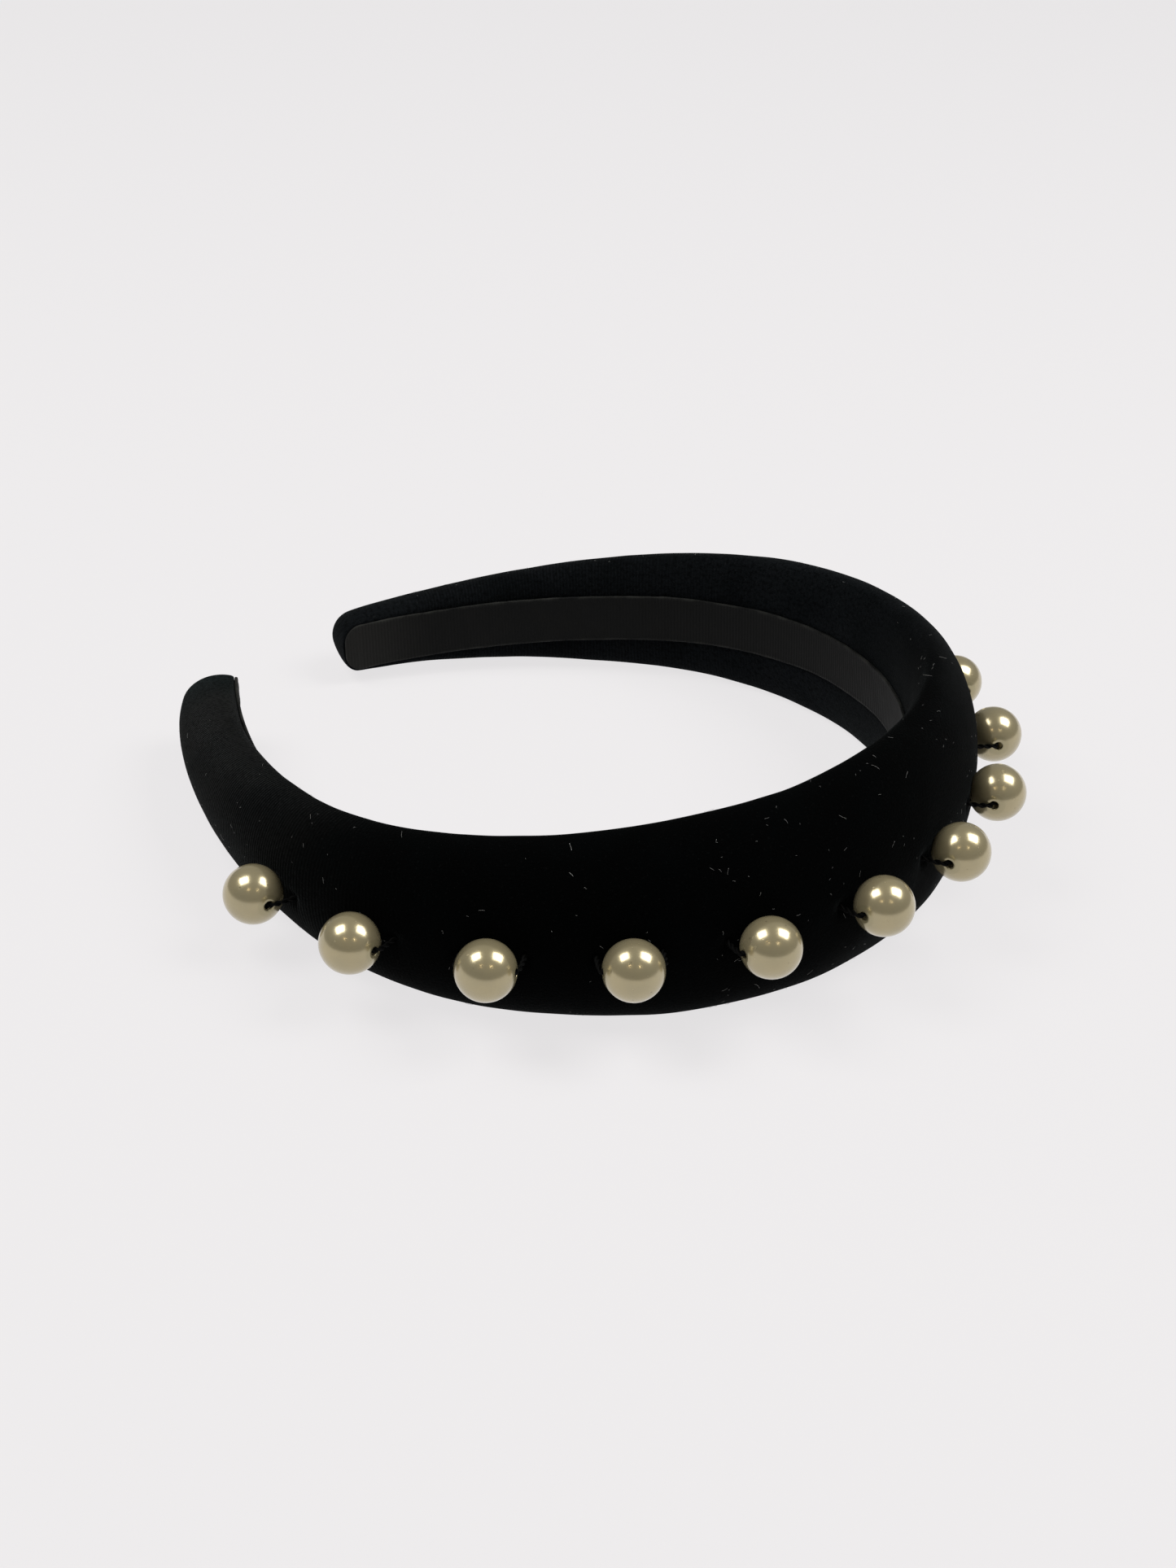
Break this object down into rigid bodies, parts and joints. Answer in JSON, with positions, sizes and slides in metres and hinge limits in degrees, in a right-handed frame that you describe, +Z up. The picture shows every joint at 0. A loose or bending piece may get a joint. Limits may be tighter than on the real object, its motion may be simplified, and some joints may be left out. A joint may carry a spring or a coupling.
{
  "type": "padded headband",
  "caption": "Padded velvet headband on a springy curved core, edged along its crown with a sewn row of pearl beads; tapers to two rounded tips.",
  "frame": {"origin": "bottom centre of the headband's bounding box as it lies on its side on a table", "axes": "+Z up, across the band's width when it lies on its side; +Y from the padded crown towards the gap between the tips; X across the head from tip side to tip side, the bend being mirrored about a plane of constant X while the band's own middle lies 2.2 mm to the left of it"},
  "size_m": [0.1592, 0.1504, 0.0374],
  "materials": {
    "black_velvet": "matte cut pile",
    "foam_padding": "open-cell foam",
    "core_plastic": "moulded satin",
    "grosgrain_ribbon": "ribbed weave",
    "pearl_finish": "pearlescent gloss",
    "black_thread": "twisted thread"
  },
  "bodies": {
    "left_arm": {"cover_left_arm": "black_velvet", "foam_left_arm": "foam_padding", "core_left_arm": "core_plastic", "ribbon_left_arm": "grosgrain_ribbon", "thread_1": "black_thread", "thread_2": "black_thread", "thread_3": "black_thread"},
    "left_shoulder": {"cover_left_shoulder": "black_velvet", "foam_left_shoulder": "foam_padding", "core_left_shoulder": "core_plastic", "ribbon_left_shoulder": "grosgrain_ribbon", "thread_4": "black_thread", "thread_5": "black_thread"},
    "crown": {"cover_crown": "black_velvet", "foam_crown": "foam_padding", "core_crown": "core_plastic", "ribbon_crown": "grosgrain_ribbon", "thread_6": "black_thread", "thread_7": "black_thread", "thread_8": "black_thread"},
    "right_shoulder": {"cover_right_shoulder": "black_velvet", "foam_right_shoulder": "foam_padding", "core_right_shoulder": "core_plastic", "ribbon_right_shoulder": "grosgrain_ribbon", "thread_9": "black_thread", "thread_10": "black_thread"},
    "right_arm": {"cover_right_arm": "black_velvet", "foam_right_arm": "foam_padding", "core_right_arm": "core_plastic", "ribbon_right_arm": "grosgrain_ribbon", "thread_11": "black_thread", "thread_12": "black_thread", "thread_13": "black_thread"},
    "bead_1": {"bead_1": "pearl_finish"},
    "bead_2": {"bead_2": "pearl_finish"},
    "bead_3": {"bead_3": "pearl_finish"},
    "bead_4": {"bead_4": "pearl_finish"},
    "bead_5": {"bead_5": "pearl_finish"},
    "bead_6": {"bead_6": "pearl_finish"},
    "bead_7": {"bead_7": "pearl_finish"},
    "bead_8": {"bead_8": "pearl_finish"},
    "bead_9": {"bead_9": "pearl_finish"},
    "bead_10": {"bead_10": "pearl_finish"},
    "bead_11": {"bead_11": "pearl_finish"},
    "bead_12": {"bead_12": "pearl_finish"},
    "bead_13": {"bead_13": "pearl_finish"}
  },
  "joints": [
    {"name": "left_shoulder_flex", "type": "hinge", "parent": "crown", "child": "left_shoulder", "pos_m": [-0.02847, -0.0485, 0.01814], "axis": [0, 0.0799, 0.9968], "range_deg": [-3, 13], "stiffness_Nm_per_rad": 0.8},
    {"name": "left_arm_flex", "type": "hinge", "parent": "left_shoulder", "child": "left_arm", "pos_m": [-0.05409, -0.02344, 0.01613], "axis": [0, 0.0799, 0.9968], "range_deg": [-3, 13], "stiffness_Nm_per_rad": 0.8},
    {"name": "right_shoulder_flex", "type": "hinge", "parent": "crown", "child": "right_shoulder", "pos_m": [0.02434, -0.05046, 0.0183], "axis": [0, -0.0799, -0.9968], "range_deg": [-3, 13], "stiffness_Nm_per_rad": 0.8},
    {"name": "right_arm_flex", "type": "hinge", "parent": "right_shoulder", "child": "right_arm", "pos_m": [0.05175, -0.02736, 0.01645], "axis": [0, -0.0799, -0.9968], "range_deg": [-3, 13], "stiffness_Nm_per_rad": 0.8},
    {"name": "bead_1_spin", "type": "hinge", "parent": "left_arm", "child": "bead_1", "pos_m": [-0.06919, 0.02616, 0.01105], "axis": [-0.3909, -0.9175, 0.0736], "continuous": true},
    {"name": "bead_2_spin", "type": "hinge", "parent": "left_arm", "child": "bead_2", "pos_m": [-0.0746, 0.00354, 0.01287], "axis": [-0.0447, -0.9958, 0.0799], "continuous": true},
    {"name": "bead_3_spin", "type": "hinge", "parent": "left_arm", "child": "bead_3", "pos_m": [-0.07153, -0.01969, 0.01473], "axis": [0.3137, -0.9465, 0.0759], "continuous": true},
    {"name": "bead_4_spin", "type": "hinge", "parent": "left_shoulder", "child": "bead_4", "pos_m": [-0.06082, -0.03993, 0.01635], "axis": [0.6026, -0.7955, 0.0638], "continuous": true},
    {"name": "bead_5_spin", "type": "hinge", "parent": "left_shoulder", "child": "bead_5", "pos_m": [-0.04485, -0.05567, 0.01761], "axis": [0.809, -0.586, 0.047], "continuous": true},
    {"name": "bead_6_spin", "type": "hinge", "parent": "crown", "child": "bead_6", "pos_m": [-0.02493, -0.06606, 0.01845], "axis": [0.9451, -0.3256, 0.0261], "continuous": true},
    {"name": "bead_7_spin", "type": "hinge", "parent": "crown", "child": "bead_7", "pos_m": [-0.00283, -0.0702, 0.01878], "axis": [0.9993, -0.037, 0.003], "continuous": true},
    {"name": "bead_8_spin", "type": "hinge", "parent": "crown", "child": "bead_8", "pos_m": [0.01951, -0.06771, 0.01858], "axis": [0.9668, 0.2548, -0.0204], "continuous": true},
    {"name": "bead_9_spin", "type": "hinge", "parent": "right_shoulder", "child": "bead_9", "pos_m": [0.04015, -0.05882, 0.01787], "axis": [0.8504, 0.5245, -0.0421], "continuous": true},
    {"name": "bead_10_spin", "type": "hinge", "parent": "right_shoulder", "child": "bead_10", "pos_m": [0.05725, -0.04431, 0.0167], "axis": [0.6602, 0.7487, -0.06], "continuous": true},
    {"name": "bead_11_spin", "type": "hinge", "parent": "right_arm", "child": "bead_11", "pos_m": [0.06941, -0.02522, 0.01517], "axis": [0.3991, 0.914, -0.0733], "continuous": true},
    {"name": "bead_12_spin", "type": "hinge", "parent": "right_arm", "child": "bead_12", "pos_m": [0.0746, -0.00237, 0.01334], "axis": [0.0467, 0.9957, -0.0799], "continuous": true},
    {"name": "bead_13_spin", "type": "hinge", "parent": "right_arm", "child": "bead_13", "pos_m": [0.07125, 0.02075, 0.01149], "axis": [-0.3118, 0.9471, -0.076], "continuous": true}
  ],
  "couplings": [
    {"joint": "left_arm_flex", "follows": "left_shoulder_flex", "ratio": 1},
    {"joint": "right_arm_flex", "follows": "right_shoulder_flex", "ratio": 1}
  ]
}
